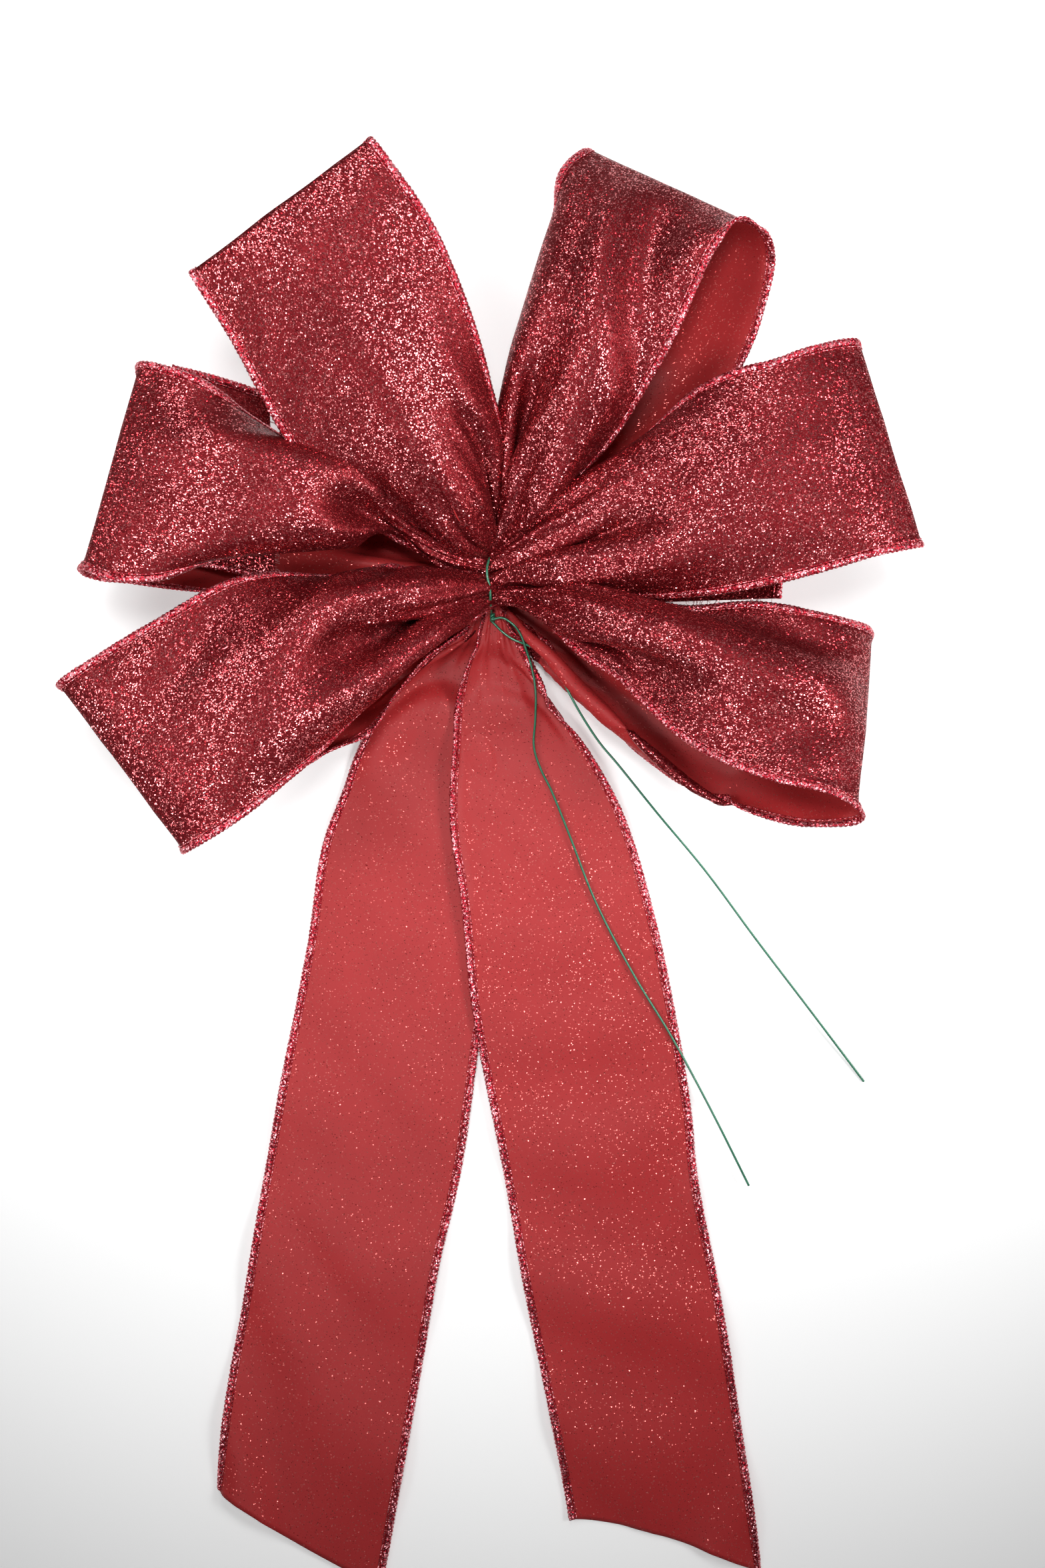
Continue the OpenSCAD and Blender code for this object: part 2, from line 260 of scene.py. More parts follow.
def mesh_object(name, verts_mm, quads, materials, material_index=None, cloth=None):
    """A mesh from arrays: vertices in mm, four-cornered faces, and the cloth's own coordinates."""
    me = bpy.data.meshes.new(name)
    me.vertices.add(len(verts_mm))
    me.vertices.foreach_set("co", (np.asarray(verts_mm) * MM).astype(np.float32).ravel())
    me.loops.add(quads.size)
    me.loops.foreach_set("vertex_index", quads.astype(np.int32).ravel())
    me.polygons.add(len(quads))
    me.polygons.foreach_set("loop_start", np.arange(0, quads.size, 4, dtype=np.int32))
    me.update(calc_edges=True)
    for m in materials:
        me.materials.append(m)
    if material_index is not None:
        me.polygons.foreach_set("material_index", np.asarray(material_index, np.int32))
    if cloth is not None:
        at = me.attributes.new("cloth", "FLOAT_VECTOR", "POINT")
        at.data.foreach_set("vector", np.asarray(cloth, np.float32).ravel())
    me.polygons.foreach_set("use_smooth", np.full(len(quads), True))
    me.validate()
    return link_object(name, me)


def joined(parts):
    """One set of vertices and faces from several."""
    verts, faces, base = [], [], 0
    for v, f in parts:
        verts.append(v)
        faces.append(f + base)
        base += len(v)
    return np.concatenate(verts), np.concatenate(faces)


def unit(v):
    return v / np.maximum(norm(v, axis=-1, keepdims=True), 1e-9)


def ramp(x, start, span):
    """Rises from 0 at start to 1 at start + span."""
    return np.clip((x - start) / span, 0, 1)


def bell(x, width):
    return np.exp(-((x / width) ** 2))


def between(x, t0, p0, t1, p1):
    """The straight blend from p0 at t0 to p1 at t1."""
    return (t1 - x) / (t1 - t0) * p0 + (x - t0) / (t1 - t0) * p1


def spline(points, per_span=24):
    """A dense curve through the points (centripetal Catmull-Rom)."""
    p = np.asarray(points, float)
    p = np.vstack([2 * p[0] - p[1], p, 2 * p[-1] - p[-2]])
    t = np.concatenate([[0], np.cumsum(np.sqrt(norm(np.diff(p, axis=0), axis=1)))])
    out = []
    for i in range(1, len(p) - 2):
        x = np.linspace(t[i], t[i + 1], per_span, endpoint=False)[:, None]
        a1 = between(x, t[i - 1], p[i - 1], t[i], p[i])
        a2 = between(x, t[i], p[i], t[i + 1], p[i + 1])
        a3 = between(x, t[i + 1], p[i + 1], t[i + 2], p[i + 2])
        b1 = between(x, t[i - 1], a1, t[i + 1], a2)
        b2 = between(x, t[i], a2, t[i + 2], a3)
        out.append(between(x, t[i], b1, t[i + 1], b2))
    out.append(p[-2][None])
    return np.vstack(out)


def lengths(curve):
    return np.concatenate([[0], np.cumsum(norm(np.diff(curve, axis=0), axis=1))])


def at_lengths(where, s, values):
    """Values that belong to the lengths s, read at other lengths."""
    return np.stack([np.interp(where, s, values[:, k]) for k in range(3)], -1)


def sample(curve, shares):
    """Points at the given shares of the curve's length."""
    s = lengths(curve)
    return at_lengths(np.asarray(shares) * s[-1], s, curve)


def doubled(p):
    """The grid with a smooth new row and column between each pair."""
    for axis in (0, 1):
        q = np.moveaxis(p, axis, 0)
        ext = np.concatenate([(2 * q[0] - q[1])[None], q, (2 * q[-1] - q[-2])[None]])
        out = np.empty((2 * len(q) - 1,) + q.shape[1:])
        out[0::2] = q
        out[1::2] = (-ext[:-3] + 9 * ext[1:-2] + 9 * ext[2:-1] - ext[3:]) / 16
        p = np.moveaxis(out, 0, axis)
    return p


# -------- cloth

# Links between points of the cloth: steps along and across, stiffness, and whether the link only keeps
# its points apart, which resists bending
CLOTH_LINKS = (
    (1, 0, 1.0, False), (0, 1, 1.0, False), (1, 1, 0.35, False), (1, -1, 0.35, False),
    (2, 0, 0.3, True), (0, 2, 0.2, True), (0, 4, 0.1, True), (0, 8, 0.08, True), (5, 0, 0.2, True),
)
STIFF_FROM, STIFF_SPAN = 30, 35     # where, away from the neck, the widest links come in
MOMENTUM, SETTLING_ROUNDS = 0.88, 260
LEAST_ROOM = 0.1                    # between the floor and the ceiling

# Pleats at the neck: waves across the ribbon, and the distance at which each set fades
PLEAT_WAVES = np.array([1.5, 2.5, 3.5, 5, 6.5, 8])
PLEAT_SPANS = np.array([70, 52, 38, 28, 20, 14])
PLEAT_BIAS = 0.6                    # pleats stand out of the surface rather than sink into it
ARCH, ARCH_FROM, ARCH_SPAN = 0.3, 45, 40    # a slight hump, away from the neck
NARROWEST_MARGIN = 0.5              # a margin narrower than this isn't folded

# Soft ridges that the pleats leave in the cloth: how many across, height, and how far they run
BROAD_RIDGES = ((1.3, 0.8, 1.3), (2.3, 1.1, 1.2))
FINE_RIDGES = ((3.4, 0.9, 0.95), (5.7, 2.3, 0.62), (7.3, 2.1, 0.5), (9.7, 1.4, 0.4), (12.6, 1.0, 0.32))
RIDGE_LEVEL = 0.64                  # the part of a ridge that stands above the surface
BACK_RIDGES = 0.35                  # depth of the ridges on a loop's hidden back layer

FOLD_PRESS, FOLD_REACH = 0.85, 3.5  # how straight a loop's fold is, and over how many rows
CALM, CALM_FROM, CALM_SPAN, CALM_ROUNDS = 0.5, 55, 35, 14   # smoothing away from the neck
REST_FROM, LOWEST = 1.5, 0.5        # cloth below the first height is eased to stay above the second


def cloth_links(p, flat, gather, fixed, creased):
    """Sets of links in which no point comes twice: their points, length, strength and freedom."""
    rows, cols = p.shape[:2]
    ids = np.arange(rows * cols).reshape(rows, cols)
    free = (~fixed).astype(float).reshape(-1)
    points = p.reshape(-1, 3)
    spots = flat.reshape(-1, 2)
    along = flat[:, 0, 0]
    far = ramp(along, STIFF_FROM, STIFF_SPAN)
    if fixed[-1].all():
        far = far * ramp(along[-1] - along, STIFF_FROM, STIFF_SPAN)
    links = []
    for di, dj, stiff, one_way in CLOTH_LINKS:
        a = ids[: rows - di, max(0, -dj): cols - max(0, dj)]
        b = ids[di:, max(0, dj): cols + min(0, dj)]
        delta = spots[b] - spots[a]
        keep = (gather[: rows - di] + gather[di:])[:, None] / 2
        rest = np.hypot(delta[..., 0], delta[..., 1] * keep)
        if one_way and dj > 2:
            rest = rest * far[:, None]
        if one_way and not di:
            gap = norm(points[b] - points[a], axis=2)
            rest = np.where(creased[:, None], np.minimum(rest, gap), rest)
        line = np.arange(a.shape[0])[:, None] if di else np.arange(a.shape[1])[None, :]
        for parity in (0, 1):
            use = np.broadcast_to((line // (di or dj)) % 2 == parity, a.shape)
            ia, ib = a[use], b[use]
            w = free[ia] + free[ib]
            ok = w > 0
            ia, ib, w = ia[ok], ib[ok], w[ok]
            links.append((ia, ib, rest[use][ok], stiff / w, free[ia], free[ib], one_way))
    return links


def relax(p, flat, gather, fixed, creased, push, ceiling, floor):
    """Lets the cloth between its fixed points settle to its own flat size, with some stiffness.

    p: rows x columns x 3; flat: rows x columns x 2, where each point lies in the flat ribbon; gather: how
    much of its width each row keeps; push: outward pressure; ceiling, floor: the height's limits by y."""
    rows, cols = p.shape[:2]
    free = (~fixed).astype(float).reshape(-1)
    links = cloth_links(p, flat, gather, fixed, creased)
    x = p.reshape(-1, 3).copy()
    before = x.copy()
    for _ in range(SETTLING_ROUNDS):
        moved = x + MOMENTUM * (x - before) * free[:, None]
        before = x
        x = moved
        if push:
            normals = surface_normals(x.reshape(rows, cols, 3)).reshape(-1, 3)
            x = x + (push * normals) * free[:, None]
        for ia, ib, rest, share, free_a, free_b, one_way in links:
            d = x[ib] - x[ia]
            n = np.sqrt((d * d).sum(1))
            off = (n - rest) / np.maximum(n, 1e-6)
            if one_way:
                off = np.minimum(off, 0)
            d *= (off * share)[:, None]
            x[ia] += d * free_a[:, None]
            x[ib] -= d * free_b[:, None]
        low, high = floor(x[:, 1]), ceiling(x[:, 1])
        x[:, 2] += (np.clip(x[:, 2], low, np.maximum(high, low + LEAST_ROOM)) - x[:, 2]) * free
    return x.reshape(rows, cols, 3)


def surface_normals(p):
    """Unit normals: left to right along each row, crossed with outwards from the neck."""
    return unit(np.cross(np.gradient(p, axis=1), np.gradient(p, axis=0)))


def height_for(profile, chord, length):
    """The height at which a row with this profile, laid across the chord, is as long as asked."""
    low, high = 0.0, 60.0
    for _ in range(24):
        mid = (low + high) / 2
        arc = np.hypot(np.diff(profile) * mid, chord / (len(profile) - 1)).sum()
        low, high = (mid, high) if arc < length else (low, mid)
    return low


def pleated_rows(left, right, crease, margin, gather, cols, rng, rise, reach):
    """Rows of cloth between the edges, with the spare width laid in pleats that radiate from the neck.

    crease, margin: where the margin folds over, and its width; rise: the way that the pleats stand;
    reach: each row's distance from the neck."""
    rows = len(left)
    v = np.linspace(0, 1, cols)
    hump = np.sin(math.pi * v)
    phases = rng.uniform(0, TAU, len(PLEAT_WAVES))
    amps = rng.uniform(0.7, 1.3, len(PLEAT_WAVES))
    waves = np.array([
        amp / count * np.sin(TAU * count * v + phase)
        for amp, count, phase in zip(amps, PLEAT_WAVES, phases)
    ])
    out = np.zeros((rows, cols, 3))
    for i in range(rows):
        if crease is not None and margin[i] > NARROWEST_MARGIN:
            open_w = CLOTH_W - margin[i]
            path = np.array([left[i], crease[i], right[i]])
            stops = np.array([0, open_w, CLOTH_W]) / CLOTH_W
            base = at_lengths(v, stops, path)
            chord = norm(crease[i] - left[i])
        else:
            open_w = CLOTH_W
            base = left[i] + v[:, None] * (right[i] - left[i])
            chord = norm(right[i] - left[i])
        profile = (waves * bell(reach[i], PLEAT_SPANS)[:, None]).sum(0)
        arch = ARCH * ramp(reach[i], ARCH_FROM, ARCH_SPAN)
        profile = (profile - PLEAT_BIAS * profile.min()) * hump ** 0.35 + arch * hump
        height = height_for(profile, chord, max(open_w * gather[i], chord) + 1e-3)
        highest = (3 + 0.5 * reach[i]) / profile.max()
        out[i] = base + (profile * min(height, highest))[:, None] * rise[i]
    return out


def pleat_memory(v, reach, rng, memory):
    """Soft ridges that run out from the neck and fade: rows x columns, in mm."""
    height, span, fine = memory
    total = np.zeros((len(reach), len(v)))
    for count, part, far in BROAD_RIDGES + tuple((c, h * fine, f) for c, h, f in FINE_RIDGES):
        drift = rng.uniform(-0.6, 0.6) * reach / 60
        phase = math.pi * count * v[None] + rng.uniform(0, math.pi) + drift[:, None]
        ridge = RIDGE_LEVEL - np.abs(np.sin(phase)) ** 1.2
        total += part / count ** 0.5 * ridge * bell(reach[:, None], span * far * rng.uniform(0.85, 1.15))
    return height * total * ramp(reach, 4, 25)[:, None] * np.sin(math.pi * v[None]) ** 0.6


def height_profile(table):
    """A height that changes with the distance down from the knot."""
    return lambda y: np.interp(-y, *zip(*table))


# -------- one strip of ribbon

# Points across, and the rows' pitch at the neck and far out
LOOP_COLUMNS, LOOP_PITCH = 41, (1.3, 3.0)
TAIL_COLUMNS, TAIL_PITCH = 33, (1.4, 3.4)
LOOP_SPARE, TAIL_SPARE = (1.6, 0.045), (1.008, 0.0)         # spare cloth at the neck, and gained per mm
LOOP_MEMORY, TAIL_MEMORY = (3.2, 70, 1.0), (1.8, 46, 0.32)  # ridges: height, length, share of fine ones
LOOP_PRESSURE = 0.004       # rounds the loops outwards a little
LOOP_CEILING, LOOP_FLOOR = [(0, 200.0)], [(0, 0.6)]
# Near the tie most of the width is crushed out of sight: the share kept, the rest, and how far out
CRUSHED_SHARE, OPENING_SHARE, OPENING_REACH = 0.32, 0.68, 30


def rows_along(total, pitch, two_ended):
    """Shares of the length at which rows lie: close together at the gathered ends."""
    fine, coarse = pitch
    n = 400
    x = np.linspace(0, 1, n)
    near = np.minimum(x, 1 - x) * total if two_ended else x * total
    steps = fine + (coarse - fine) * np.clip(near / 60, 0, 1) ** 0.8
    count = np.concatenate([[0], np.cumsum(total / (n - 1) / steps[:-1])])
    rows = int(round(count[-1])) + 1
    return np.interp(np.linspace(0, count[-1], rows), count, x)


def edge_guides(left, right):
    """The two edges as dense curves, and their lengths."""
    left, right = spline(left), spline(right)
    return left, right, lengths(left)[-1], lengths(right)[-1]


def loop_guides(loop):
    """The two edges row by row, their lengths at each row, each row's share and the fold's."""
    _, _, fold_l, fold_r = edge_guides(loop["front_left"], loop["front_right"])
    left_all, right_all, len_l, len_r = edge_guides(
        loop["front_left"] + loop["back_left"],
        loop["front_right"] + loop["back_right"],
    )
    shares = rows_along((len_l + len_r) / 2, LOOP_PITCH, True)
    fold = 0.5 * (fold_l / len_l + fold_r / len_r)
    left_share = np.interp(shares, [0, fold, 1], [0, fold_l / len_l, 1])
    right_share = np.interp(shares, [0, fold, 1], [0, fold_r / len_r, 1])
    left, right = sample(left_all, left_share), sample(right_all, right_share)
    return left, right, left_share * len_l, right_share * len_r, shares, fold


def gather_share(reach, chord, spare):
    """How much of the cloth's width each row keeps."""
    free = CRUSHED_SHARE + OPENING_SHARE * ramp(reach, 0, OPENING_REACH) ** 0.8
    return np.minimum(free, chord * (spare[0] + spare[1] * reach) / CLOTH_W)


def pressed_fold(p, plain, fold_row, creased):
    """The fold itself is pressed straight from edge to edge, but not where its margin is folded over."""
    share = FOLD_PRESS * bell(np.arange(len(p)) - fold_row, FOLD_REACH)[:, None, None]
    return p + share * ~creased[:, None, None] * (plain - p)


def calmed(p, reach, fixed, creased):
    """Small dents are evened out where the cloth is far from the neck."""
    calm = np.where(creased, 0, CALM * ramp(reach, CALM_FROM, CALM_SPAN))[:, None, None]
    loose = calm[1:-1] * ~fixed[1:-1, 1:-1, None]
    for _ in range(CALM_ROUNDS):
        across_mean = (p[1:-1, :-2] + p[1:-1, 2:]) / 2
        along_mean = (p[:-2, 1:-1] + p[2:, 1:-1]) / 2
        mean = (across_mean + along_mean) / 2
        p[1:-1, 1:-1] += loose * (mean - p[1:-1, 1:-1])
    return p


def build_strip(left, right, reach, seed, cols, spare, memory, ceiling, floor,
                crease=None, margin=None, push=0.0, fold_row=None, outer=1.0):
    """The settled cloth between two edges as a grid, and where each point lies in the flat ribbon.

    outer: 1 or -1, the side that the pleats stand out on; the rest as in pleated_rows and relax."""
    rng = np.random.RandomState(seed)
    rows = len(left)
    along = unit(np.gradient((left + right) / 2, axis=0))
    rise = unit(np.cross(unit(right - left), along)) * outer
    gather = gather_share(reach, norm(right - left, axis=1), spare)
    p = pleated_rows(left, right, crease, margin, gather, cols, rng, rise, reach)
    # each thread of the warp is as long as the straight surface between the two edges makes it
    v = np.linspace(0, 1, cols)
    plain = left[:, None] + v[None, :, None] * (right - left)[:, None]
    flat = np.zeros((rows, cols, 2))
    flat[1:, :, 0] = np.cumsum(norm(np.diff(plain, axis=0), axis=2), axis=0)
    flat[..., 1] = v * CLOTH_W
    fixed = np.zeros((rows, cols), bool)
    fixed[:, 0] = True
    fixed[:, -1] = True
    fixed[0] = True
    if fold_row is not None:
        fixed[-1] = True
        fixed[fold_row] = True
    creased = np.zeros(rows, bool) if margin is None else margin > NARROWEST_MARGIN
    p = relax(p, flat, gather, fixed, creased, push, height_profile(ceiling), height_profile(floor))
    if fold_row is not None:
        p = pressed_fold(p, plain, fold_row, creased)
    p = calmed(p, reach, fixed, creased)
    p, flat = doubled(p), doubled(flat)
    fine_rows = np.arange(2 * rows - 1)
    fine_reach = np.interp(fine_rows / 2, np.arange(rows), reach)
    ridges = pleat_memory(np.linspace(0, 1, 2 * cols - 1), fine_reach, rng, memory)[..., None]
    depth = np.ones(2 * rows - 1)
    if fold_row is not None:
        depth[fine_rows > 2 * fold_row] = BACK_RIDGES
    p = p + outer * depth[:, None, None] * surface_normals(p) * ridges
    z = p[..., 2]
    p[..., 2] = np.where(z < REST_FROM, LOWEST + np.exp(np.minimum(z - REST_FROM, 0)), z)
    return p, flat


def ribbon_mesh(name, p, flat, lining_up):
    """The cloth as a thin closed sheet, glitter on one face and lining on the other."""
    rows, cols = p.shape[:2]
    n = surface_normals(p)
    outer, inner = p + n * HALF_THICK, p - n * HALF_THICK
    ids = np.arange(rows * cols).reshape(rows, cols)
    a, b, c, d = ids[:-1, :-1], ids[1:, :-1], ids[1:, 1:], ids[:-1, 1:]
    top = np.stack([a, d, c, b], -1).reshape(-1, 4)
    low = np.stack([a, b, c, d], -1).reshape(-1, 4) + rows * cols
    rim = np.concatenate([ids[:, 0], ids[-1, 1:], ids[-2::-1, -1], ids[0, -2:0:-1]])
    after = np.roll(rim, -1)
    side = np.stack([rim, after, after + rows * cols, rim + rows * cols], -1)
    faces = np.concatenate([top, low, side])
    which = np.concatenate([np.zeros(len(top)), np.ones(len(low) + len(side))]).astype(int)
    if lining_up:
        which = 1 - which
    # flakes keep their size in the pleats, so the cloth is measured across along its real surface
    across = np.zeros((rows, cols))
    across[:, 1:] = np.cumsum(norm(np.diff(p, axis=1), axis=2), axis=1)
    across -= across[:, cols // 2, None]
    cloth = np.concatenate([np.stack([flat[..., 0], across], -1).reshape(-1, 2)] * 2)
    cloth = np.column_stack([cloth, np.repeat([0.0, 5.0], rows * cols)])
    verts = np.concatenate([outer.reshape(-1, 3), inner.reshape(-1, 3)])
    ob = mesh_object(name, verts, faces, [MATERIALS["glitter"], MATERIALS["lining"]], which, cloth)
    return ob, p, n


def tube(centre, x_axis, y_axis, radii_x, radii_y, sides):
    """Vertices and faces of a closed tube. The radii are numbers or arrays of rings x sides."""
    rings = len(centre)
    t = np.arange(sides) / sides * TAU
    rx = np.broadcast_to(radii_x, (rings, sides))
    ry = np.broadcast_to(radii_y, (rings, sides))
    v = (centre[:, None] + (rx * np.cos(t))[..., None] * x_axis[:, None]
         + (ry * np.sin(t))[..., None] * y_axis[:, None])
    ids = np.arange(rings * sides).reshape(rings, sides)
    a, b = ids, np.roll(ids, -1, 1)
    quads = np.stack([a[:-1], a[1:], b[1:], b[:-1]], -1).reshape(-1, 4)
    caps = []
    for ring, turn in ((ids[0], 1), (ids[-1], -1)):
        ring = ring[::turn]
        for k in range(1, sides - 2, 2):
            caps.append([ring[0], ring[k], ring[k + 1], ring[k + 2]])
    return v.reshape(-1, 3), np.concatenate([quads, np.array(caps)])


# The edging's loops of thread, and the chain of needle stitches inside it
RINGS_PER_STITCH, EDGING_SIDES = 5, 8
THREAD_SLANT, THREAD_UNEVEN = 0.75, 0.06
THREAD_HOLLOW, THREAD_RELIEF = 0.74, 0.3
EDGING_TUCK = 0.3           # how far the edging reaches back over the cloth
CHAIN_INSET, CHAIN_LIFT, CHAIN_PHASE = 0.55, 0.12, 0.6
BEAD_THIN, BEAD_GROWTH = 0.12, 0.16
EDGE_WIRE_PITCH, EDGE_WIRE_RADIUS, EDGE_WIRE_OUT = 2.0, 0.17, 0.8
SMALL_SIDES = 6
EDGE_AT_NECK, EDGE_EASE = 0.45, 0.1     # the edging's size at the tie, and the share in which it is full


def along_edge(points, outward, normal, squeeze, pitch):
    """An edge resampled at an even pitch: lengths, points, two directions and the edging's size."""
    s = lengths(points)
    x = np.linspace(0, s[-1], max(8, int(round(s[-1] / pitch))))
    ease = np.interp(x, np.linspace(0, s[-1], len(squeeze)), squeeze)
    line, out, nrm = [at_lengths(x, s, values) for values in (points, outward, normal)]
    return x, line, unit(out), unit(nrm), ease


def stitched_edge(name, edge, outward, normal, squeeze):
    """The overlocked edging: slanted loops of thread round the edge, and needle stitches."""
    s, e, out, nrm, ease = along_edge(edge, outward, normal, squeeze, STITCH / RINGS_PER_STITCH)
    along = unit(np.gradient(e, axis=0))
    out = unit(out - (out * along).sum(1)[:, None] * along)
    nrm = unit(np.cross(out, along))
    t = np.arange(EDGING_SIDES) / EDGING_SIDES * TAU
    turn = math.pi * s[:, None] / STITCH + THREAD_SLANT * np.cos(t)[None]
    stitches = np.arange(0, s[-1] + STITCH, STITCH)
    uneven = 1 + THREAD_UNEVEN * np.interp(s, stitches, THREAD_DRAWS.uniform(-1, 1, len(stitches)))
    ridge = (THREAD_HOLLOW + THREAD_RELIEF * np.abs(np.sin(turn)) ** 0.8) * uneven[:, None] * ease[:, None]
    centre = e + out * (EDGING_HALF_W - EDGING_TUCK) * ease[:, None]
    parts = [tube(centre, out, nrm, EDGING_HALF_W * ridge, EDGING_HALF_T * ridge, EDGING_SIDES)]
    bead = BEAD_THIN + BEAD_GROWTH * np.abs(np.sin(math.pi * s / STITCH + CHAIN_PHASE))
    for side in (-1, 1):
        line = e - out * CHAIN_INSET * ease[:, None] + nrm * side * (HALF_THICK + CHAIN_LIFT)
        parts.append(tube(line, out, nrm, (bead * ease)[:, None], (bead * ease)[:, None], SMALL_SIDES))
    ob = mesh_object(name, *joined(parts), [MATERIALS["edging"]])
    return ob


def edge_wires(name, edges):
    """The fine wires that run inside the two edgings."""
    parts = []
    for edge in edges:
        _, e, out, nrm, ease = along_edge(*edge, EDGE_WIRE_PITCH)
        line = e + out * EDGE_WIRE_OUT * ease[:, None]
        parts.append(tube(line, out, nrm, EDGE_WIRE_RADIUS, EDGE_WIRE_RADIUS, SMALL_SIDES))
    ob = mesh_object(name, *joined(parts), [MATERIALS["steel"]])
    return ob


def stitch_both(node, fine, normals, squeeze):
    """A strip's two stitched edges, and the lines that they follow."""
    stitched, edges = [], []
    for side, column, inside in (("left", 0, 3), ("right", -1, -4)):
        outward = fine[:, column] - fine[:, inside]
        edges.append((fine[:, column], outward, normals[:, column], squeeze))
        stitched.append(stitched_edge(f"{node}_{side}_stitching", *edges[-1]))
    return stitched, edges


def dress_strip(node, p, flat, two_ended, lining_up):
    """The ribbon, its two stitched edges and its edge wires, standing for the CAD nodes of that strip."""
    ribbon, fine, normals = ribbon_mesh(node + "_ribbon", p, flat, lining_up)
    near = np.arange(len(fine)) / (len(fine) - 1)
    squeeze = np.clip(EDGE_AT_NECK + near / EDGE_EASE, 0, 1)
    if two_ended:
        squeeze = np.minimum(squeeze, np.clip(EDGE_AT_NECK + (1 - near) / EDGE_EASE, 0, 1))
    stitched, edges = stitch_both(node, fine, normals, squeeze)
    wires = edge_wires(node + "_wires", edges)
    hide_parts(node)
    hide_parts(node + "_left_edging")
    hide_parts(node + "_right_edging")
    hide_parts(node + "_edge_wires")
    return [ribbon, *stitched, wires]


# -------- materials

# Colours, each pair from dark to light
GLITTER_CLOTH = ((0.075, 0.002, 0.004), (0.26, 0.012, 0.017))
GLITTER_FLAKE = ((0.34, 0.014, 0.022), (0.94, 0.27, 0.28))
SATIN = ((0.31, 0.014, 0.016), (0.41, 0.021, 0.023))
SATIN_GRAIN = (0.46, 0.038, 0.039)
SATIN_SPECK = (0.80, 0.20, 0.18)
THREAD = ((0.55, 0.04, 0.06), (1.0, 0.42, 0.46))
THREAD_SHADE = (0.38, 0.016, 0.03)
ENAMEL = ((0.012, 0.10, 0.055), (0.035, 0.22, 0.12))
STEEL = ((0.42, 0.40, 0.38), (0.62, 0.6, 0.57))
FRAY = ((0.20, 0.012, 0.018), (0.72, 0.42, 0.42))
FLOOR_PAPER = ((0.86, 0.86, 0.86), (0.9, 0.9, 0.9))
SPECK_FROM = 0.94           # the share of the satin's cells that carry no speck
FLAKE_FROM = 0.6            # the share of the glitter's cells that carry no flake


class Nodes:
    """Short hand for building a material's node tree."""

    def __init__(self, name):
        self.mat = bpy.data.materials.new(name)
        self.mat.use_nodes = True
        self.tree = self.mat.node_tree
        self.bsdf = self.tree.nodes["Principled BSDF"]

    def add(self, kind, **settings):
        node = self.tree.nodes.new("ShaderNode" + kind)
        for key, value in settings.items():
            setattr(node, key, value)
        return node

    def put(self, socket, value):
        """Sets a socket to a plain value, or links it to another node's result."""
        if isinstance(value, (int, float, tuple)):
            socket.default_value = value
        else:
            self.tree.links.new(value, socket)

    def shade(self, socket_name, value):
        self.put(self.bsdf.inputs[socket_name], value)

    def maths(self, operation, a, b):
        node = self.add("Math", operation=operation)
        self.put(node.inputs[0], a)
        self.put(node.inputs[1], b)
        return node.outputs[0]

    def vector(self, operation, a, b=None, scale=None):
        node = self.add("VectorMath", operation=operation)
        self.put(node.inputs[0], a)
        if b is not None:
            self.put(node.inputs[1], b)
        if scale is not None:
            self.put(node.inputs["Scale"], scale)
        return node.outputs["Vector"]

    def mix(self, share, a, b):
        node = self.add("Mix", data_type="RGBA")
        self.put(node.inputs["Factor"], share)
        for key, value in (("A", a), ("B", b)):
            socket = [s for s in node.inputs if s.name == key and s.type == "RGBA"][0]
            self.put(socket, (*value, 1) if isinstance(value, tuple) else value)
        return [s for s in node.outputs if s.type == "RGBA"][0]

    def noise(self, where, scale, detail=2.0):
        node = self.add("TexNoise")
        self.put(node.inputs["Vector"], where)
        self.put(node.inputs["Scale"], scale)
        self.put(node.inputs["Detail"], detail)
        return node.outputs["Fac"]

    def cells(self, where):
        node = self.add("TexVoronoi")
        self.put(node.inputs["Vector"], where)
        self.put(node.inputs["Scale"], 1.0)
        return node.outputs["Distance"], node.outputs["Color"]

    def cloth_mm(self):
        """Where the point lies in the flat ribbon, in mm."""
        return self.add("Attribute", attribute_name="cloth").outputs["Vector"]

    def object_mm(self):
        return self.vector("SCALE", self.add("TexCoord").outputs["Object"], scale=1000.0)


def flakes(n, where, stretch, tilt, rare=1.2, bold_from=FLAKE_FROM, bold_gain=0.8):
    """A mosaic of tiny facets: their random numbers, the distance from their middles, their normals.

    stretch: cells per mm; tilt: how much all lean; rare: how much a few lean further;
    bold_from, bold_gain: which facets lean more than the others, and how much."""
    distance, colour = n.cells(n.vector("MULTIPLY", where, stretch))
    split = n.add("SeparateColor")
    n.put(split.inputs[0], colour)
    r, g, b = split.outputs
    bold = n.maths("ADD", 0.6, n.maths("MULTIPLY", n.maths("GREATER_THAN", r, bold_from), bold_gain))
    further = n.maths("MULTIPLY", n.maths("POWER", b, 4.0), rare)
    lean = n.maths("ADD", n.maths("MULTIPLY", bold, tilt), further)
    centred = n.vector("SUBTRACT", colour, (0.5, 0.5, 0.5))
    swing = n.vector("SCALE", centred, scale=lean)
    normal = n.add("NewGeometry").outputs["Normal"]
    facet = n.vector("NORMALIZE", n.vector("ADD", normal, swing))
    return r, g, b, distance, facet


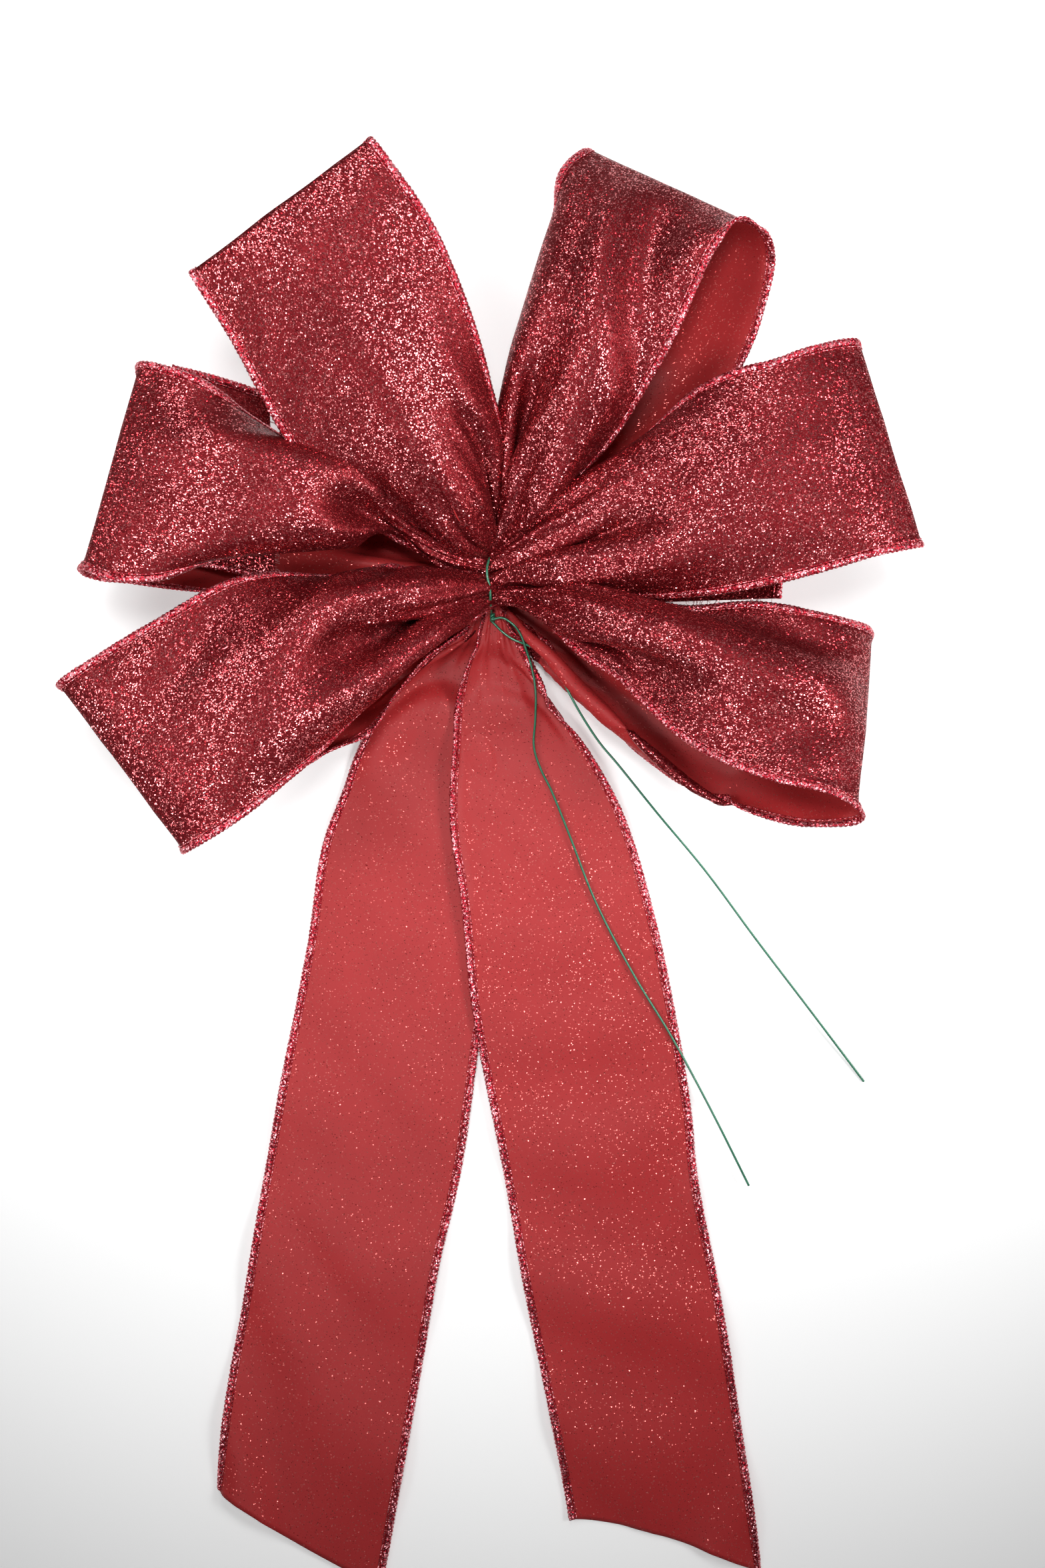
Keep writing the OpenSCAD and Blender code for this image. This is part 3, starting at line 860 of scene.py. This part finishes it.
def glitter():
    n = Nodes("glitter_cloth")
    where = n.cloth_mm()
    r, g, _, distance, facet = flakes(n, where, stretch=(2.6, 2.8, 1.0), tilt=0.32)
    round_cell = n.maths("LESS_THAN", distance, 0.62)
    shiny = n.maths("MULTIPLY", n.maths("GREATER_THAN", r, FLAKE_FROM), round_cell)
    tone = n.noise(where, 0.05, 3.0)
    fine = n.noise(where, 2.6)
    cloth = n.mix(n.maths("MULTIPLY", tone, fine), *GLITTER_CLOTH)
    n.shade("Base Color", n.mix(shiny, cloth, n.mix(g, *GLITTER_FLAKE)))
    n.shade("Metallic", n.maths("ADD", n.maths("MULTIPLY", shiny, 0.25), 0.7))
    n.shade("Roughness", n.maths("SUBTRACT", 0.44, n.maths("MULTIPLY", shiny, 0.18)))
    n.shade("Normal", facet)
    n.shade("Specular IOR Level", 0.2)
    return n.mat


def lining():
    n = Nodes("satin_lining")
    where = n.cloth_mm()
    r, g, _, _, facet = flakes(n, where, stretch=(3.2, 3.2, 1.0), tilt=0.08, rare=0.0,
                               bold_from=SPECK_FROM, bold_gain=7.5)
    grain = n.noise(n.vector("MULTIPLY", where, (0.6, 5.0, 1.0)), 2.0, 3.0)
    base = n.mix(n.noise(where, 0.045, 3.0), *SATIN)
    grained = n.mix(n.maths("MULTIPLY", grain, 0.3), base, SATIN_GRAIN)
    speck = n.maths("GREATER_THAN", r, SPECK_FROM)
    n.shade("Base Color", n.mix(n.maths("MULTIPLY", speck, g), grained, SATIN_SPECK))
    n.shade("Roughness", n.maths("SUBTRACT", 0.52, n.maths("MULTIPLY", speck, 0.25)))
    n.shade("Metallic", n.maths("MULTIPLY", speck, 0.6))
    n.shade("Normal", facet)
    n.shade("Specular IOR Level", 0.3)
    return n.mat


def edging():
    n = Nodes("metallic_thread")
    r, g, b, _, facet = flakes(n, n.object_mm(), stretch=(2.2, 2.2, 2.2), tilt=0.7)
    n.shade("Base Color", n.mix(n.maths("GREATER_THAN", r, 0.5), THREAD_SHADE, n.mix(g, *THREAD)))
    n.shade("Roughness", n.maths("ADD", 0.22, n.maths("MULTIPLY", b, 0.2)))
    n.shade("Metallic", 0.9)
    n.shade("Normal", facet)
    return n.mat


def enamelled_wire():
    n = Nodes("green_enamel")
    rub = n.noise(n.object_mm(), 0.35, 4.0)
    n.shade("Base Color", n.mix(rub, *ENAMEL))
    n.shade("Roughness", n.maths("ADD", 0.28, n.maths("MULTIPLY", rub, 0.15)))
    n.shade("Metallic", 0.35)
    n.shade("Coat Weight", 0.4)
    return n.mat


def steel():
    n = Nodes("edge_wire_steel")
    n.shade("Base Color", n.mix(n.noise(n.object_mm(), 1.2), *STEEL))
    n.shade("Metallic", 1.0)
    n.shade("Roughness", 0.35)
    return n.mat


def fray():
    n = Nodes("frayed_thread")
    n.shade("Base Color", n.mix(n.noise(n.object_mm(), 0.8), *FRAY))
    n.shade("Roughness", 0.7)
    return n.mat


def paper():
    n = Nodes("pale_floor")
    where = n.add("TexCoord").outputs["Object"]
    n.shade("Base Color", n.mix(n.noise(where, 2.0), *FLOOR_PAPER))
    n.shade("Roughness", 0.9)
    n.shade("Emission Color", (1.0, 1.0, 1.0, 1.0))
    n.shade("Emission Strength", 0.2)
    return n.mat


# -------- building the bow

UP = np.array([0, 0, 1.0])
MARGIN_DROP = 3             # a folded margin's crease is at most this much lower than its edge
WAVE_RISE = 40              # the tail's waves reach their full height over this length
BULGE_REACH = 60            # how far up the tail the bowing of its cut is felt
TUCKED_ROWS, TUCKED_COLUMNS = 18, 25


def margin_widths(loop, shares, fold):
    """How wide a margin of the back layer is folded over, row by row."""
    back = np.clip((shares - fold) / (1 - fold), 0, 1)
    return np.where(shares <= fold, 0, np.interp(back, *zip(*loop["curl"])))


def finish_strip(node, p, flat, is_loop):
    """Dresses a strip and bakes each piece's placement into its own vertices."""
    pieces = dress_strip(node, p, flat, two_ended=is_loop, lining_up=not is_loop)
    for ob in pieces:
        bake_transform(ob)


def build_loop(node, loop):
    left, right, s_left, s_right, shares, fold = loop_guides(loop)
    reach = np.minimum(s_left, s_left[-1] - s_left)
    fold_row = int(np.argmin(np.abs(shares - fold)))
    mirrored = loop.get("curl_side") == "left"
    turn = -1.0 if mirrored else 1.0
    crease = margin = None
    if "curl" in loop:
        margin = margin_widths(loop, shares, fold)
        outwards = unit((right - left) * (1, 1, 0)) * turn
        edge = left if mirrored else right
        crease = edge + outwards * margin[:, None] - UP * np.minimum(margin, MARGIN_DROP)[:, None]
    # a folded margin has to be in the last columns, so with a left one the strip is built mirrored
    first, last = (right, left) if mirrored else (left, right)
    p, flat = build_strip(
        first, last, reach, loop["seed"], LOOP_COLUMNS, LOOP_SPARE, LOOP_MEMORY, LOOP_CEILING, LOOP_FLOOR,
        crease=crease, margin=margin, push=LOOP_PRESSURE * turn, fold_row=fold_row, outer=turn,
    )
    if mirrored:
        p, flat = p[:, ::-1], flat[:, ::-1]
    middle = (left[len(left) // 2] + right[len(right) // 2]) / 2
    heading = unit(np.array([middle[0], middle[1], 0.0]))
    finish_strip(node, p, flat, is_loop=True)


def build_tail(node, tail):
    left_all, right_all, len_l, len_r = edge_guides(tail["left"], tail["right"])
    shares = rows_along((len_l + len_r) / 2, TAIL_PITCH, False)
    left, right = sample(left_all, shares), sample(right_all, shares)
    reach = shares * len_l
    for edge, lag in ((left, 0), (right, tail["wave_lag"])):
        beyond = reach - tail["waves_from"] - lag
        wave = 1 - np.cos(TAU * beyond / tail["wave_length"])
        edge[:, 2] += tail["waves"] * ramp(beyond, 0, WAVE_RISE) * wave
    p, flat = build_strip(
        left, right, reach, tail["seed"], TAIL_COLUMNS, TAIL_SPARE, TAIL_MEMORY,
        tail["ceiling"], tail["floor"],
    )
    # the slanted cut bows outwards between its corners
    bulge = tail["cut_bulge"] * ramp(flat[:, 0, 0] - flat[-1, 0, 0], -BULGE_REACH, BULGE_REACH)[:, None]
    bulge = bulge * np.sin(math.pi * np.linspace(0, 1, p.shape[1]))
    p = p + unit((left[-1] + right[-1] - left[-6] - right[-6]) / 2) * bulge[..., None]
    finish_strip(node, p, flat, is_loop=False)


def build_tucked_end(loop_name, ends):
    node = loop_name + "_tucked_end"
    body = loop_name + "_body"
    left_all, right_all, len_l, len_r = edge_guides(ends["left"], ends["right"])
    shares = np.linspace(0, 1, TUCKED_ROWS)
    left, right = sample(left_all, shares), sample(right_all, shares)
    v = np.linspace(0, 1, TUCKED_COLUMNS)
    p = left[:, None] + v[None, :, None] * (right - left)[:, None]
    flat = np.zeros((TUCKED_ROWS, TUCKED_COLUMNS, 2))
    flat[..., 0] = (shares * len_l)[:, None]
    flat[..., 1] = v * CLOTH_W
    ribbon, fine, normals = ribbon_mesh(node + "_ribbon", doubled(p), doubled(flat), lining_up=True)
    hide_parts(node)
    edgings, _ = stitch_both(node, fine, normals, np.ones(len(fine)))
    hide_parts(node + "_edging")
    for ob in [ribbon] + edgings:
        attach(ob, body)
    frayed_cut(node + "_frayed_threads", fine[-1], fine[-1] - fine[-4], body)


TUFTS, THREADS_PER_TUFT = 26, 3
FRAY_RADIUS = 0.09
FRAY_ROOT = 0.6             # how far inside the cut a loose thread starts
FRAY_SWAY = 0.6


def frayed_cut(name, cut, outward, body):
    """Loose threads standing out of a raw cut, in small uneven tufts."""
    rng = np.random.RandomState(len(name))
    s = lengths(cut)
    along_cut = unit(cut[-1] - cut[0])
    t = np.linspace(0, 1, 7)[:, None]
    tufts = np.repeat(rng.uniform(0.04, 0.96, TUFTS), THREADS_PER_TUFT)
    threads = []
    for share in np.concatenate([[0.02, 0.98], tufts]):
        at = share * s[-1] + rng.uniform(-0.8, 0.8)
        start = at_lengths(at, s, cut)
        out = unit(at_lengths(at, s, outward))
        side = along_cut * rng.uniform(-0.7, 0.7) + np.array([0, 0, rng.uniform(-0.4, 0.5)])
        long = rng.uniform(0.9, 2.4)
        line = start - out * FRAY_ROOT + out * long * t + side * long * FRAY_SWAY * t ** 2
        line[:, 2] = np.maximum(line[:, 2], LOWEST)
        along = unit(np.gradient(line, axis=0))
        x_axis = unit(np.cross(along, np.array([0.3, 0.2, 1.0])))
        y_axis = np.cross(along, x_axis)
        threads.append(tube(line, x_axis, y_axis, FRAY_RADIUS, FRAY_RADIUS, SMALL_SIDES))
    ob = mesh_object(name, *joined(threads), [MATERIALS["fray"]])
    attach(ob, body)


# The tie's wire, its ring and its twist
TWIST_RADIUS, END_RADIUS = 0.42, 0.4
RING_MIDDLE, RING_HALF_Y, RING_HALF_Z = 12.2, 11.4, 12.6
RING_SQUARENESS = 0.75
RING_TOP_SHIFT = 1.6        # over the top the wire is pushed aside by the cloth
TWIST_TURNS, TWIST_OFFSET, TWIST_ADVANCE = 1.2, 0.55, 0.32


def wire_curve(name, points_mm, radius):
    cu = bpy.data.curves.new(name, "CURVE")
    cu.dimensions = "3D"
    cu.bevel_depth = radius * MM
    cu.bevel_resolution = 4
    cu.use_fill_caps = True
    pts = spline(points_mm, 6)
    sp = cu.splines.new("POLY")
    sp.points.add(len(pts) - 1)
    sp.points.foreach_set("co", np.column_stack([pts * MM, np.ones(len(pts))]).ravel())
    sp.use_smooth = True
    cu.materials.append(MATERIALS["wire"])
    ob = link_object(name, cu)
    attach(ob, "neck")
    return ob, pts


def squared(value):
    """Makes a sine or cosine bulge, which turns a circle into a rounded square."""
    return math.copysign(abs(value) ** RING_SQUARENESS, value)


def ring_point(a):
    """The tie's ring at an angle round the neck."""
    y = RING_HALF_Y * squared(math.cos(a))
    z = RING_MIDDLE + RING_HALF_Z * squared(math.sin(a))
    shift = RING_TOP_SHIFT * math.exp(-((y - 2) / 5) ** 2) if z > 12 else 0.0
    return 0.3 * math.sin(2 * a) - shift, y, max(z, 0.6)


def twist_point(a, phase):
    x = 0.2 + TWIST_OFFSET * math.cos(a + phase)
    return x, -11.6 - TWIST_ADVANCE * a, 14.6 + TWIST_OFFSET * math.sin(a + phase)


def build_tie():
    """The wire round the neck, its twist and the two free ends."""
    ring = [ring_point(a) for a in np.linspace(0, TAU, 33)]
    ob, _ = wire_curve("tie_wire_ring_wire", ring, TWIST_RADIUS)
    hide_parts("tie_wire_ring")
    for k, phase in enumerate((0, math.pi)):
        strand = [twist_point(a, phase) for a in np.linspace(0, TWIST_TURNS * TAU, 16)]
        ob, _ = wire_curve(f"tie_wire_twist_strand_{k + 1}", strand, TWIST_RADIUS)
        if k == 0:
            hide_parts("tie_wire_twist")
    for side, route in (("left", LEFT_END_ROUTE), ("right", RIGHT_END_ROUTE)):
        ob, pts = wire_curve(f"tie_wire_end_{side}_wire", route, END_RADIUS)
        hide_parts(f"tie_wire_end_{side}")
        float(lengths(pts)[-1] * MM)


NECK_HALF_LENGTH, NECK_HEIGHT = 11, 11.0
NECK_HALF_Y, NECK_HALF_Z = 8.6, 8.4
NECK_RINGS, NECK_SIDES = 41, 160
NECK_FLUTES = (7, 11, 17, 23)
FLUTE_DEPTH = 0.07
PINCH, PINCH_REACH = 0.16, 3.2


def build_neck():
    """The pinched core of the bow: fluted cloth running through the tie."""
    x = np.linspace(-NECK_HALF_LENGTH, NECK_HALF_LENGTH, NECK_RINGS)
    t = np.arange(NECK_SIDES) / NECK_SIDES * TAU
    rng = np.random.RandomState(41)
    flute = sum(rng.uniform(0.5, 1) * np.sin(k * t + rng.uniform(0, 6.3)) / k ** 0.5 for k in NECK_FLUTES)
    flute = 1 + FLUTE_DEPTH * (flute / np.abs(flute).max())[None]
    pinch = 1 - PINCH * bell(x, PINCH_REACH)
    centre = np.column_stack([x, np.zeros(NECK_RINGS), np.full(NECK_RINGS, NECK_HEIGHT)])
    radii_y = (NECK_HALF_Y * pinch)[:, None] * flute
    radii_z = (NECK_HALF_Z * pinch)[:, None] * flute
    v, f = tube(centre, np.array([[0, 1.0, 0]]), UP[None], radii_y, radii_z, NECK_SIDES)
    cloth = np.column_stack([np.repeat(x, NECK_SIDES), np.tile(t * 9, NECK_RINGS), np.zeros(len(v))])
    ob = mesh_object("gathered_neck_pleats", v, f, [MATERIALS["glitter"]], cloth=cloth)
    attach(ob, "neck")
    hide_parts("gathered_neck")


add_camera()
MATERIALS = {
    "glitter": glitter(),
    "lining": lining(),
    "edging": edging(),
    "wire": enamelled_wire(),
    "steel": steel(),
    "fray": fray(),
}
add_room()
build_tie()
build_neck()
for node_name, loop_data in LOOPS.items():
    build_loop(node_name, loop_data)
for node_name, tail_data in TAILS.items():
    build_tail(node_name, tail_data)
for node_name, end_data in TUCKED.items():
    build_tucked_end(node_name, end_data)
bpy.context.scene.view_settings.view_transform = "Standard"
